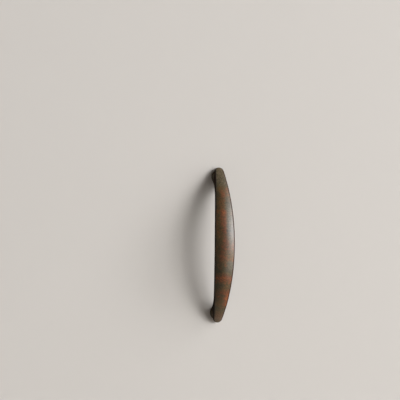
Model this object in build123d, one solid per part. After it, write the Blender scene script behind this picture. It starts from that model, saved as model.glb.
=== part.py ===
from build123d import *
import os
from math import radians, sqrt, tan

# Arch pull for cabinets and drawers: a bow with a crowned front, widest in the middle and drawn
# in to two round tips, whose underside sweeps down into two round feet. The screws come from
# behind. Bow and feet are one zinc die casting. Millimetres.
#
# Frame: the face that the pull is fixed to is the plane y = 0, and the pull stands out
# towards -Y. +Z runs along the pull and +X across it. The origin is on that plane, half way
# between the two screw centres.

# Screws
screw_spacing = 96.0        # between the two screw centres
tap_drill = 3.45            # bore for a number 8-32 thread
drill_point = 118.0         # included angle of the bore's end, degrees
bore_skin = 1.3             # metal left between the bore and the front
mouth_chamfer = 0.4         # lead-in at the bore's mouth

# Bow, seen from the side
projection = 24.5           # middle of the front, over the plane of the seats
tip_height = 2.55           # front over that plane at the very tips
middle_thickness = 5.7      # on the centre line, measured along Y
end_thickness = 5.2         # the same over the screws, if the underside's arc ran on so far
instep = 2.5                # the underside is down at the seats this far inside the screw centres
sweep_radius = 20.0         # and sweeps down to there on this radius
tip_gap = 0.7               # the tips' undersides clear the plane of the seats by this much
heel_round = 1.0            # where the sweep meets those undersides

# Bow, seen from the front
overhang = 6.9              # each tip beyond its screw centre
middle_width = 13.5
end_width = 7.1             # at the screw centres

# Bow, in section
crown_radius = 18.4         # front, across the bow
front_round = 0.6           # edge between the crown and the walls
back_chamfer = 0.5          # edge between the underside and the walls

# Feet
seat_radius = 5.0           # flat ring that bears on what the pull is fixed to
seat_chamfer = 0.3          # outer edge of that ring
rim_height = 1.0            # straight side above the seat
flare_height = 2.4          # concave flare above the rim
flare_radius = 3.0          # at the flare's top, inside the bow's walls

spare = 3.0                 # cutting shapes run past what they cut by this much

half_span = screw_spacing / 2
half_length = half_span + overhang
half_width = middle_width / 2
bore_radius = tap_drill / 2
inside = half_span - instep
underside = projection - middle_thickness


def arc_radius(rise, half_chord):
    return (rise ** 2 + half_chord ** 2) / (2 * rise)


# The front and the underside are arcs about axes that lie across the bow, behind the seats.
front_radius = arc_radius(projection - tip_height, half_length)
front_axis = front_radius - projection
front_at_screws = sqrt(front_radius ** 2 - half_span ** 2) - front_axis
back_radius = arc_radius(underside - front_at_screws + end_thickness, half_span)
back_axis = back_radius - underside
back_inside = sqrt(back_radius ** 2 - inside ** 2) - back_axis

# Each long side is one arc, and each tip's arc runs on from both of them without a corner.
side_radius = arc_radius((middle_width - end_width) / 2, half_span)
side_axis = side_radius - half_width
tip_radius = (side_radius ** 2 - side_axis ** 2 - half_length ** 2) / (2 * (side_radius - half_length))
meet = side_radius / (side_radius - tip_radius)
meet_x = side_axis * (meet - 1)
meet_z = (half_length - tip_radius) * meet

# The bore stops short of the front, which falls away towards the tip, by bore_skin.
bore_edge = half_span + bore_radius
front_level = sqrt(front_radius ** 2 - bore_edge ** 2)
bore_depth = front_level - front_axis - bore_skin * front_radius / front_level


def outline():
    right = ThreePointArc((meet_x, -meet_z), (half_width, 0), (meet_x, meet_z))
    top = ThreePointArc((meet_x, meet_z), (0, half_length), (-meet_x, meet_z))
    left = ThreePointArc((-meet_x, meet_z), (-half_width, 0), (-meet_x, -meet_z))
    bottom = ThreePointArc((-meet_x, -meet_z), (0, -half_length), (meet_x, -meet_z))
    return make_face([right, top, left, bottom])


def crowned_barrel():
    """The crown's arc, turned about the axis of the front."""
    reach = half_width + spare
    edge = crown_radius - sqrt(crown_radius ** 2 - reach ** 2) - projection
    crown = ThreePointArc((-reach, edge), (0, -projection), (reach, edge))
    sides = Polyline((reach, edge), (reach, front_axis), (-reach, front_axis), (-reach, edge))
    return revolve(make_face([crown, sides]), Axis((0, front_axis, 0), (1, 0, 0)), 360)


def hollow():
    """What is cut away behind the bow: the underside's arc and its two sweeps."""
    arc = ThreePointArc((-back_inside, -inside), (-underside, 0), (-back_inside, inside))
    rest = Polyline((-back_inside, inside), (sweep_radius, inside), (sweep_radius, -inside),
                    (-back_inside, -inside))
    profile = make_face([arc, rest])
    swept = fillet(profile.vertices().sort_by(Axis.X)[:2], sweep_radius)
    return extrude(Plane.YZ * swept, half_width + spare, both=True)


def bow():
    """Outline, crown and underside, with the heels rounded and every edge broken."""
    prism = extrude(Plane.XZ.offset(tip_gap) * outline(), projection)
    solid = (prism & crowned_barrel()) - hollow()
    heels = solid.edges().filter_by(Axis.X).sort_by(Axis.Y)[-2:]
    solid = fillet(heels, heel_round)
    walls = solid.faces().filter_by(lambda face: abs(face.normal_at().Y) < 0.01)
    crown = solid.faces().sort_by(Axis.Y)[0]
    under = (walls.edges() - crown.edges()).filter_by(GeomType.LINE, reverse=True)
    solid = chamfer(under, back_chamfer)
    crown = solid.faces().sort_by(Axis.Y)[0]
    return fillet(crown.edges(), front_round)


def foot():
    """Seat, straight rim and concave flare, which runs up into the bow."""
    flare_top = rim_height + flare_height
    profile = make_face([
        Polyline((flare_radius, flare_top), (0, flare_top), (0, 0), (seat_radius - seat_chamfer, 0),
                 (seat_radius, seat_chamfer), (seat_radius, rim_height)),
        TangentArc((flare_radius, flare_top), (seat_radius, rim_height), tangent=(0, -1)),
    ])
    return Pos(0, 0, half_span) * mirror(revolve(profile, Axis.Y, 360), Plane.XZ)


def bore():
    """Drilled from the seat, with the drill's point at its end and a lead-in at its mouth."""
    point = bore_radius / tan(radians(drill_point / 2))
    wide = bore_radius + mouth_chamfer
    profile = make_face(Polyline((0, -spare), (wide, -spare), (wide, 0), (bore_radius, mouth_chamfer),
                                 (bore_radius, bore_depth), (0, bore_depth + point), (0, -spare)))
    return Pos(0, 0, half_span) * mirror(revolve(profile, Axis.Y, 360), Plane.XZ)


def both(shape):
    return [shape, mirror(shape, Plane.XY)]


def pull():
    return bow() + both(foot()) - both(bore())


os.makedirs("parts", exist_ok=True)
export_step(pull(), "parts/arch_pull.step")
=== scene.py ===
from math import cos, pi, radians, sin, tan

import bmesh
import bpy
from mathutils import Matrix, Vector


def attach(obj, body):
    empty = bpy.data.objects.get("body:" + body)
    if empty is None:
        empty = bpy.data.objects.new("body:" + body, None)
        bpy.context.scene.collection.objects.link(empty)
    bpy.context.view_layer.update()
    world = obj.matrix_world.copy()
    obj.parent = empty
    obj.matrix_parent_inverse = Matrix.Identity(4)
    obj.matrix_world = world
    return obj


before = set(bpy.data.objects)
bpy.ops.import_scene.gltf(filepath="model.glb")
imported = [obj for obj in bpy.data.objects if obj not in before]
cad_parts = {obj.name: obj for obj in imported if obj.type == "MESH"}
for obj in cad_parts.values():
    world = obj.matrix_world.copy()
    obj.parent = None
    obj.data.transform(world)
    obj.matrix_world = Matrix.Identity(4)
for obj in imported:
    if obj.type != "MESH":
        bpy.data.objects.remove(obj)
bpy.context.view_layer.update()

scene = bpy.context.scene
mm = 0.001
screwHeight = 48.0 * mm  # each screw's centre, above or below the middle of the pull
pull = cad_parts["arch_pull"]
print("frame loaded:", sorted(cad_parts))


def linear(hexColour):  # an sRGB hex value as the linear colour that a shader takes
    channels = [int(hexColour[i:i + 2], 16) / 255 for i in (1, 3, 5)]
    return tuple(c / 12.92 if c <= 0.04045 else ((c + 0.055) / 1.055) ** 2.4 for c in channels) + (1.0,)


def addNode(tree, kind, settings=None, inputs=None):  # one node, with its settings and its links or values
    node = tree.nodes.new(kind)
    for name, value in (settings or {}).items():
        setattr(node, name, value)
    for socket, value in (inputs or {}).items():
        if isinstance(value, bpy.types.NodeSocket):
            tree.links.new(value, node.inputs[socket])
        else:
            node.inputs[socket].default_value = value
    return node


def mixColour(tree, amount, first, second):
    return addNode(tree, "ShaderNodeMix", {"data_type": "RGBA"}, {0: amount, 6: first, 7: second}).outputs[2]


def calc(tree, operation, first, second=0.0, third=0.0):
    return addNode(tree, "ShaderNodeMath", {"operation": operation}, {0: first, 1: second, 2: third}).outputs[0]


def smooth(tree, value, span):  # 0 before the span's first value, 1 past its second, which may be the lower
    return addNode(tree, "ShaderNodeMapRange", {"interpolation_type": "SMOOTHSTEP"},
                   {"Value": value, "From Min": span[0], "From Max": span[1]}).outputs[0]


def inMillimetres(tree, coords):  # the object's own coordinates
    return addNode(tree, "ShaderNodeMapping", inputs={"Vector": coords.outputs["Object"],
                                                      "Scale": (1 / mm, 1 / mm, 1 / mm)}).outputs[0]


def newMaterial(name):
    material = bpy.data.materials.new(name)
    material.use_nodes = True
    material.node_tree.nodes.clear()
    return material, material.node_tree


def finishMesh(name, bm, material):
    mesh = bpy.data.meshes.new(name)
    bm.to_mesh(mesh)
    bm.free()
    mesh.materials.append(material)
    piece = bpy.data.objects.new(name, mesh)
    scene.collection.objects.link(piece)
    return piece


# Patina on the casting. Heights are in mm along the bow, up from its middle, and places across
# it are in mm to the right of its middle.

patina = {
    "oxide": "#221912",        # dark bath, left where no wheel reaches
    "umber": "#38281c",        # the same where it took less
    "olive": "#423a20",        # green tarnish over the brown
    "brown": "#56401f",        # browned copper
    "rust": "#6d3d1c",         # copper rubbed through the brown
    "flame": "#8c4c1e",        # the brightest rubbed spots
    "worn": "#60533d",         # the tips, where the brown is thin and grey
    "paintedHighlightGrey": "#6b645f",         # painted highlight: grey mixed over the right, most in the upper half, to whiten the gleam there
    "edge": "#34180d",         # a dark line along the right edge, which also loses the lacquer

    # The warmth over which each tone comes in after the olive.
    "toneSteps": {"brown": (0.0, 0.5), "rust": (0.4, 0.85), "flame": (0.8, 1.2)},
    # The warmth at each height.
    "warmth": [(-54, 0.4), (-50, 0.7), (-47, 0.5), (-44.5, 0.15), (-41, 0.5), (-37, 0.45), (-32, 0.75),
               (-29.5, 0.45), (-27.6, 0.15), (-25.6, 0.7), (-22.6, 1.1), (-19.5, 0.6), (-16.5, 0.05),
               (-13.5, 0.5), (-9, 0.68), (-4, 0.65), (0, 0.75), (4, 0.65), (9, 0.8), (15, 0.85),
               (20, 0.8), (23, 1.0), (26, 0.6), (33, 0.6), (37, 0.7), (40, 0.5), (43, 0.1), (54, 0.3)],
    # What olive takes off that on the left, what a painted highlight's cooler tint takes off on the right so
    # that the gleam there looks neutral, and what copper adds low on the right.
    "leftOlive": [(-18, 0.2), (-3, 0.2), (4, 0.4), (16, 0.45), (22, 0.3), (30, 0.4), (54, 0.3)],
    "paintedHighlightTint": [(-26, 0), (-22, 0.25), (-18, 0.25), (-16, 0.5), (-11, 0.5), (-9, 0.15), (2, 0.15),
                   (12, 0.8), (26, 0.8), (31, 0.5), (36, 0.2), (40, 0)],
    "lowCopper": [(-44, 0), (-40, 0.5), (-35, 0.5), (-31, 0)],
    # How light the left and the right are: painted shade darkens the left, most down the lower left, and
    # painted light brightens the right, which faces the lamps.
    "leftPaintedShade": [(-54, 0.72), (-43, 0.68), (-36, 0.45), (-18, 0.41), (-7, 0.47), (8, 0.64),
                  (20, 0.75), (27, 0.67), (34, 0.69), (42, 0.95), (50, 0.95), (54, 0.85)],
    "rightPaintedLight": [(-44, 1.0), (-22, 1.05), (-17, 1.4), (-12, 1.45), (-7, 1.35), (2, 1.0), (10, 1.0),
                   (18, 1.4), (24, 1.6), (30, 1.35), (36, 1.3), (42, 1.0)],
    # How far the tips are worn.
    "tipWear": [(-53, 0.8), (-46, 0.4), (-43, 0), (40, 0), (45, 1), (54, 1)],
    "reach": 57.0,             # the bands run between this height and the same below the middle

    # The places across over which each of these comes in.
    "leftOliveFrom": (-1.0, -4.5),
    "paintedHighlightTintFrom": (-0.5, 2.5),
    "lowCopperFrom": (0.0, 3.5),
    "rightPaintedLightFrom": (-4.5, 4.8),

    # Three noises: size is mm across one spot of each, and offset, in mm, keeps them apart.
    "cloud": {"size": 9.0, "detail": 2.0, "offset": (0, 0, 0)},     # clouds of the bath
    "mottle": {"size": 2.6, "detail": 3.0, "offset": (31, 7, 12)},  # blotches
    # The cast skin's grain, drawn coarser than the real 0.1 mm so that it shows.
    "grain": {"size": 0.9, "detail": 2.0, "offset": (5, 17, 43)},
    "wander": 4.5,             # mm that a blotch's full swing moves a band
    "cloudPull": 1.3,          # how many times that a cloud moves it
    "mottleWarmth": 1.3,       # warmth that a full swing of the blotches and of the grain brings
    "grainWarmth": 0.6,
    "cloudShade": 0.4,         # lightness that a full swing of the clouds and of the grain brings
    "grainShade": 1.6,
    "wornPatches": (0.8, 1.2),  # sum of blotch and grain over which a tip's patch turns worn
    "umberPatches": (0.8, 1.25),  # sum of cloud and blotch over which the bath turns umber
    "paintedHighlightGreyStrength": 0.5,

    "halfWidth": 6.75,         # mm, the bow's outline in the middle
    "endHalfWidth": 3.55,      # mm, and at the screws
    "edgeLine": 0.55,          # mm, how far the dark right-edge line reaches in from the outline
    "edgeFade": 0.4,           # mm over which it then fades out
    "unrubbedFrom": (-0.6, -0.15),  # the normal's Y over which the wheel lets go; the front's is -1

    "metallic": 0.1,
    "specular": 0.1,
    "roughness": 0.45,
    "mottleRoughness": 0.15,   # what the brightest blotches add to it
    "bathRoughness": 0.4,      # what the unrubbed bath adds to it
    "coat": 1.0,
    "coatRoughness": 0.41,
    "coatIor": 1.55,
    "thinnestCoat": 0.1,       # share of the lacquer's gleam where the painted shade is darkest
    "coatCurve": 1.5,          # and how late that share rises with the lightness
    "bumpStrength": 0.15,
    "bumpHeight": 0.03 * mm,
}


def bandRamp(tree, place, stops):  # a strength along the bow, from its lower tip to its upper one
    ramp = addNode(tree, "ShaderNodeValToRGB", inputs={"Fac": place})
    ramp.color_ramp.interpolation = "EASE"
    elements = ramp.color_ramp.elements
    while len(elements) > 1:
        elements.remove(elements[0])
    for i, (height, strength) in enumerate(stops):
        position = (height + patina["reach"]) / (2 * patina["reach"])
        element = elements.new(position) if i else elements[0]
        element.position = position
        element.color = (strength, strength, strength, 1)
    return ramp.outputs["Color"]


def makeAntiquedCopper():
    # Copper plate on a zinc die casting, browned in a bath, rubbed back by wheel and lacquered satin.
    # The eye sees soft clouds of brown, red and olive under one broad, dull gleam, and dark sides.
    p = patina
    material, tree = newMaterial("antiquedCopperPlate")
    coords = addNode(tree, "ShaderNodeTexCoord")
    position = inMillimetres(tree, coords)

    def noise(kind):
        moved = addNode(tree, "ShaderNodeMapping", inputs={"Vector": position,
                                                           "Location": kind["offset"]}).outputs[0]
        return addNode(tree, "ShaderNodeTexNoise", inputs={"Vector": moved, "Scale": 1 / kind["size"],
                                                           "Detail": kind["detail"]}).outputs["Fac"]

    def swing(pattern, strength, value):  # a noise is 0.5 on average, so this adds as much as it takes
        return calc(tree, "MULTIPLY_ADD", calc(tree, "SUBTRACT", pattern, 0.5), strength, value)

    def onOneSide(name):  # strength of what shows on one side of the bow only
        return calc(tree, "MULTIPLY", smooth(tree, across, p[name + "From"]), bandRamp(tree, place, p[name]))

    cloud, mottle, grain = noise(p["cloud"]), noise(p["mottle"]), noise(p["grain"])
    split = addNode(tree, "ShaderNodeSeparateXYZ", inputs={"Vector": position})
    across, along = split.outputs["X"], split.outputs["Z"]

    # Where on the bands a point is, once blotches and clouds have moved their edges.
    blot = calc(tree, "SUBTRACT", mottle, 0.5 * (1 + p["cloudPull"]))
    blot = calc(tree, "MULTIPLY_ADD", cloud, p["cloudPull"], blot)
    height = calc(tree, "MULTIPLY_ADD", blot, p["wander"], along)
    place = calc(tree, "DIVIDE", calc(tree, "ADD", height, p["reach"]), 2 * p["reach"])

    warm = bandRamp(tree, place, p["warmth"])
    warm = swing(mottle, p["mottleWarmth"], warm)
    warm = swing(grain, p["grainWarmth"], warm)
    # Painted highlight: the right turns cooler toward olive where the lamps' gleam lies.
    paintedHighlightTint = onOneSide("paintedHighlightTint")
    warm = calc(tree, "SUBTRACT", warm, onOneSide("leftOlive"))
    warm = calc(tree, "SUBTRACT", calc(tree, "ADD", warm, onOneSide("lowCopper")), paintedHighlightTint)
    tone = linear(p["olive"])
    for name, span in p["toneSteps"].items():
        tone = mixColour(tree, smooth(tree, warm, span), tone, linear(p[name]))

    patches = smooth(tree, calc(tree, "ADD", mottle, grain), p["wornPatches"])
    worn = calc(tree, "MULTIPLY", bandRamp(tree, place, p["tipWear"]), patches)
    tone = mixColour(tree, worn, tone, linear(p["worn"]))
    # Painted highlight: a grey over the same places whitens the gleam.
    paintedHighlightGreyShare = calc(tree, "MULTIPLY", paintedHighlightTint, p["paintedHighlightGreyStrength"])
    tone = mixColour(tree, paintedHighlightGreyShare, tone, linear(p["paintedHighlightGrey"]))
    # Painted shade darkens the left and painted light brightens the right.
    paintedShading = mixColour(tree, smooth(tree, across, p["rightPaintedLightFrom"]), bandRamp(tree, place, p["leftPaintedShade"]),
                      bandRamp(tree, place, p["rightPaintedLight"]))
    speckle = calc(tree, "MULTIPLY_ADD", cloud, p["cloudShade"], calc(tree, "MULTIPLY", grain, p["grainShade"]))
    shade = calc(tree, "MULTIPLY", speckle, paintedShading)
    tone = addNode(tree, "ShaderNodeVectorMath", {"operation": "SCALE"}, {0: tone, 3: shade}).outputs[0]

    # The dark line along the right edge, which also loses the lacquer, and the sides, back and feet, which no
    # wheel reached.
    narrowing = (p["halfWidth"] - p["endHalfWidth"]) / (screwHeight / mm) ** 2
    outline = calc(tree, "MULTIPLY_ADD", calc(tree, "MULTIPLY", along, along), -narrowing, p["halfWidth"])
    fromOutline = calc(tree, "SUBTRACT", outline, across)
    onEdge = smooth(tree, fromOutline, (p["edgeLine"] + p["edgeFade"], p["edgeLine"]))
    tone = mixColour(tree, onEdge, tone, linear(p["edge"]))
    normal = addNode(tree, "ShaderNodeSeparateXYZ", inputs={"Vector": coords.outputs["Normal"]})
    unrubbed = smooth(tree, normal.outputs["Y"], p["unrubbedFrom"])
    thinBath = smooth(tree, calc(tree, "ADD", cloud, mottle), p["umberPatches"])
    bath = mixColour(tree, thinBath, linear(p["oxide"]), linear(p["umber"]))
    colour = mixColour(tree, unrubbed, tone, bath)

    roughness = calc(tree, "MULTIPLY_ADD", mottle, p["mottleRoughness"], p["roughness"])
    roughness = calc(tree, "MULTIPLY_ADD", unrubbed, p["bathRoughness"], roughness)
    lightness = calc(tree, "POWER", calc(tree, "MINIMUM", paintedShading, 1.0), p["coatCurve"])
    satin = calc(tree, "MULTIPLY_ADD", lightness, 1 - p["thinnestCoat"], p["thinnestCoat"])
    bare = calc(tree, "MAXIMUM", onEdge, unrubbed)
    lacquer = calc(tree, "MULTIPLY", calc(tree, "MULTIPLY_ADD", bare, -p["coat"], p["coat"]), satin)
    bumps = addNode(tree, "ShaderNodeBump", inputs={"Height": grain, "Strength": p["bumpStrength"],
                                                    "Distance": p["bumpHeight"]}).outputs[0]
    shader = addNode(tree, "ShaderNodeBsdfPrincipled", inputs={
        "Base Color": colour, "Metallic": p["metallic"], "Roughness": roughness, "Normal": bumps,
        "Specular IOR Level": p["specular"], "Coat Weight": lacquer, "Coat Roughness": p["coatRoughness"],
        "Coat IOR": p["coatIor"]})
    addNode(tree, "ShaderNodeOutputMaterial", inputs={"Surface": shader.outputs[0]})
    return material


copperPlate = makeAntiquedCopper()
if not pull.data.materials:
    pull.data.materials.append(copperPlate)
for materialSlot in pull.material_slots:
    materialSlot.material = copperPlate
print("patina on", pull.name)


# Thread in each bore, number 8-32

thread = {
    "rootRadius": 1.74 * mm,   # sunk just under the wall of the plain bore
    "crestRadius": 1.50 * mm,
    "pitch": 25.4 / 32 * mm,   # 32 turns to the inch
    "crest": (0.45, 0.55),     # where the crest begins and ends, as shares of the pitch
    "start": 0.55 * mm,        # depth of the first turn, past the lead-in
    "turns": 5.5,
    "stepsPerTurn": 32,
    "weld": 1e-7,              # metres, corners closer than this become one
    "dark": "#8d8c88",
    "bright": "#b4b3ae",
    "fleck": 0.4,              # mm across one fleck of grey
    "fleckDetail": 2.0,
    "roughness": (0.3, 0.5),   # of the dark flecks and of the bright ones
}


def makeCutZinc():
    # Zinc alloy as the tap leaves it. The eye sees bright, slightly greyed, finely flecked metal.
    darkRoughness, brightRoughness = thread["roughness"]
    material, tree = newMaterial("tappedZinc")
    position = inMillimetres(tree, addNode(tree, "ShaderNodeTexCoord"))
    grey = addNode(tree, "ShaderNodeTexNoise", inputs={"Vector": position, "Scale": 1 / thread["fleck"],
                                                       "Detail": thread["fleckDetail"]}).outputs["Fac"]
    colour = mixColour(tree, grey, linear(thread["dark"]), linear(thread["bright"]))
    roughness = calc(tree, "MULTIPLY_ADD", grey, brightRoughness - darkRoughness, darkRoughness)
    shader = addNode(tree, "ShaderNodeBsdfPrincipled", inputs={"Base Color": colour, "Metallic": 1.0,
                                                               "Roughness": roughness})
    addNode(tree, "ShaderNodeOutputMaterial", inputs={"Surface": shader.outputs[0]})
    return material


def makeThread(name, height, material):
    t = thread
    bm = bmesh.new()
    crestStart, crestEnd = t["crest"]
    ridge = [bm.verts.new((radius, -t["start"] - t["pitch"] * share, height)) for radius, share in
             ((t["rootRadius"], 0.0), (t["crestRadius"], crestStart), (t["crestRadius"], crestEnd),
              (t["rootRadius"], 1.0))]
    face = bm.faces.new(ridge)
    bmesh.ops.spin(bm, geom=[face], cent=(0, 0, height), axis=(0, 1, 0),
                   dvec=(0, -t["pitch"] / t["stepsPerTurn"], 0), angle=t["turns"] * 2 * pi,
                   steps=int(t["turns"] * t["stepsPerTurn"]), use_merge=False, use_duplicate=False)
    bmesh.ops.remove_doubles(bm, verts=bm.verts, dist=t["weld"])
    bmesh.ops.recalc_face_normals(bm, faces=bm.faces)
    # Spin's corners, edges and faces come in an order that changes between runs, so they are
    # sorted by place.
    for parts in (bm.verts, bm.edges, bm.faces):
        places = {part: sum((corner.co for corner in getattr(part, "verts", [part])), Vector())[:]
                  for part in parts}
        order = {part: i for i, part in enumerate(sorted(places, key=places.get))}
        parts.sort(key=order.get)
    piece = finishMesh(name, bm, material)
    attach(piece, "root")


zinc = makeCutZinc()
makeThread("thread_top", screwHeight, zinc)
makeThread("thread_bottom", -screwHeight, zinc)
print("threads in both bores")


# Backdrop and floor

stage = {
    "colour": "#d2cdc6",
    "roughness": 0.85,
    "specular": 0.2,
    "half": 1.2,               # metres, half the side of each sheet
    "seatRadius": 4.6 * mm,    # the backdrop is open behind each seat, so light from behind reaches the bore
    "floorHeight": -0.34,
}


def makePaleMatt():
    # Matt pale paint, an even, soft ground. It is seen only from its front: from behind, the
    # backdrop isn't there.
    material, tree = newMaterial("paleMattPaint")
    coords = addNode(tree, "ShaderNodeTexCoord")
    split = addNode(tree, "ShaderNodeSeparateXYZ", inputs={"Vector": coords.outputs["Object"]})
    across = calc(tree, "POWER", split.outputs["X"], 2.0)
    along = calc(tree, "SUBTRACT", calc(tree, "ABSOLUTE", split.outputs["Z"]), screwHeight)
    along = calc(tree, "POWER", along, 2.0)
    inSeat = calc(tree, "LESS_THAN", calc(tree, "ADD", across, along), stage["seatRadius"] ** 2)
    behind = addNode(tree, "ShaderNodeNewGeometry").outputs["Backfacing"]
    paint = addNode(tree, "ShaderNodeBsdfPrincipled", inputs={
        "Base Color": linear(stage["colour"]), "Roughness": stage["roughness"],
        "Specular IOR Level": stage["specular"]})
    clear = addNode(tree, "ShaderNodeBsdfTransparent")
    both = addNode(tree, "ShaderNodeMixShader", inputs={0: calc(tree, "MAXIMUM", inSeat, behind),
                                                        1: paint.outputs[0], 2: clear.outputs[0]})
    addNode(tree, "ShaderNodeOutputMaterial", inputs={"Surface": both.outputs[0]})
    return material


def makeSheet(name, matrix, material):
    bm = bmesh.new()
    bmesh.ops.create_grid(bm, x_segments=1, y_segments=1, size=stage["half"])
    bmesh.ops.transform(bm, matrix=matrix, verts=bm.verts)
    finishMesh(name, bm, material)


paint = makePaleMatt()
makeSheet("backdrop", Matrix.Rotation(pi / 2, 4, "X"), paint)
makeSheet("floor", Matrix.Translation((0, -stage["half"], stage["floorHeight"])), paint)
print("backdrop and floor")


# Light

light = {
    "distance": 6.0,           # metres from the pull to each lamp
    "colour": "#fbfcff",
    # As seen from the pull, in degrees: side is to the right of straight out from the backdrop,
    # rise is above the horizon, and wide and tall are what the lamp fills.
    "lamps": {
        "softbox": {"side": 46.0, "rise": 9.5, "wide": 18.0, "tall": 18.0, "radiance": 12.0},
        "wideSheet": {"side": 51.0, "rise": 9.0, "wide": 46.0, "tall": 25.0, "radiance": 6.0},
        "highStrip": {"side": 69.0, "rise": 33.0, "wide": 18.0, "tall": 36.0, "radiance": 7.4},
        "lowStrip": {"side": 74.0, "rise": -23.0, "wide": 22.0, "tall": 46.0, "radiance": 4.8},
    },
    "roomColour": "#fff6ec",
    "front": 0.01,             # what the room gives in front of the backdrop
    "room": 0.12,              # what is seen of it there, directly or in the metal
    "walls": 0.6,              # the same far to the left and right
    "wallsFrom": (0.8, 0.95),  # how far sideways a ray looks where the walls come in
    "back": 0.6,               # soft light behind the backdrop
    "backFrom": (-0.05, 0.25),  # how far back a ray looks where that comes in
}


def makeLamp(name, lamp):
    side, rise = radians(lamp["side"]), radians(lamp["rise"])
    away = Vector((sin(side) * cos(rise), -cos(side) * cos(rise), sin(rise)))
    data = bpy.data.lights.new(name, "AREA")
    data.shape = "RECTANGLE"
    data.size = 2 * light["distance"] * tan(radians(lamp["wide"] / 2))
    data.size_y = 2 * light["distance"] * tan(radians(lamp["tall"] / 2))
    data.energy = lamp["radiance"] * pi * data.size * data.size_y
    data.color = linear(light["colour"])[:3]
    source = bpy.data.objects.new(name, data)
    source.location = away * light["distance"]
    source.rotation_euler = away.to_track_quat("Z", "Y").to_euler()
    scene.collection.objects.link(source)


def makeRoom():
    world = bpy.data.worlds.new("room")
    world.use_nodes = True
    tree = world.node_tree
    tree.nodes.clear()
    coords = addNode(tree, "ShaderNodeTexCoord")
    direction = addNode(tree, "ShaderNodeSeparateXYZ", inputs={"Vector": coords.outputs["Generated"]})
    behind = smooth(tree, direction.outputs["Y"], light["backFrom"])
    sideways = smooth(tree, calc(tree, "ABSOLUTE", direction.outputs["X"]), light["wallsFrom"])
    pale = calc(tree, "MULTIPLY_ADD", sideways, light["walls"] - light["room"], light["room"] - light["front"])
    ray = addNode(tree, "ShaderNodeLightPath").outputs
    seen = calc(tree, "MAXIMUM", ray["Is Glossy Ray"], ray["Is Transmission Ray"])
    seen = calc(tree, "MAXIMUM", ray["Is Camera Ray"], seen)
    front = calc(tree, "MULTIPLY_ADD", seen, pale, light["front"])
    strength = calc(tree, "MAXIMUM", front, calc(tree, "MULTIPLY", behind, light["back"]))
    glow = addNode(tree, "ShaderNodeBackground", inputs={"Color": linear(light["roomColour"]),
                                                         "Strength": strength})
    addNode(tree, "ShaderNodeOutputWorld", inputs={"Surface": glow.outputs[0]})
    scene.world = world


for lampName, lampSizes in light["lamps"].items():
    makeLamp(lampName, lampSizes)
makeRoom()
print("light and room")


# Camera

view = {
    "place": (-0.16962, -0.69037, 0.02673),  # metres
    "turn": -12.777,           # degrees, to the right of straight on where it is below 0
    "tilt": -0.404,            # degrees, upwards where it is below 0
    "roll": 0.644,             # degrees
    "lens": 90.0,
    "sensor": 36.0,            # mm across
    "clip": (0.01, 20),        # metres
}


def makeCamera():
    data = bpy.data.cameras.new("camera")
    data.lens = view["lens"]
    data.sensor_width = view["sensor"]
    data.clip_start, data.clip_end = view["clip"]
    camera = bpy.data.objects.new("camera", data)
    camera.matrix_world = (Matrix.Translation(view["place"]) @ Matrix.Rotation(radians(view["turn"]), 4, "Z")
                           @ Matrix.Rotation(radians(90 - view["tilt"]), 4, "X")
                           @ Matrix.Rotation(radians(view["roll"]), 4, "Z"))
    scene.collection.objects.link(camera)
    scene.camera = camera


makeCamera()
scene.view_settings.view_transform = "Standard"
print("camera placed")
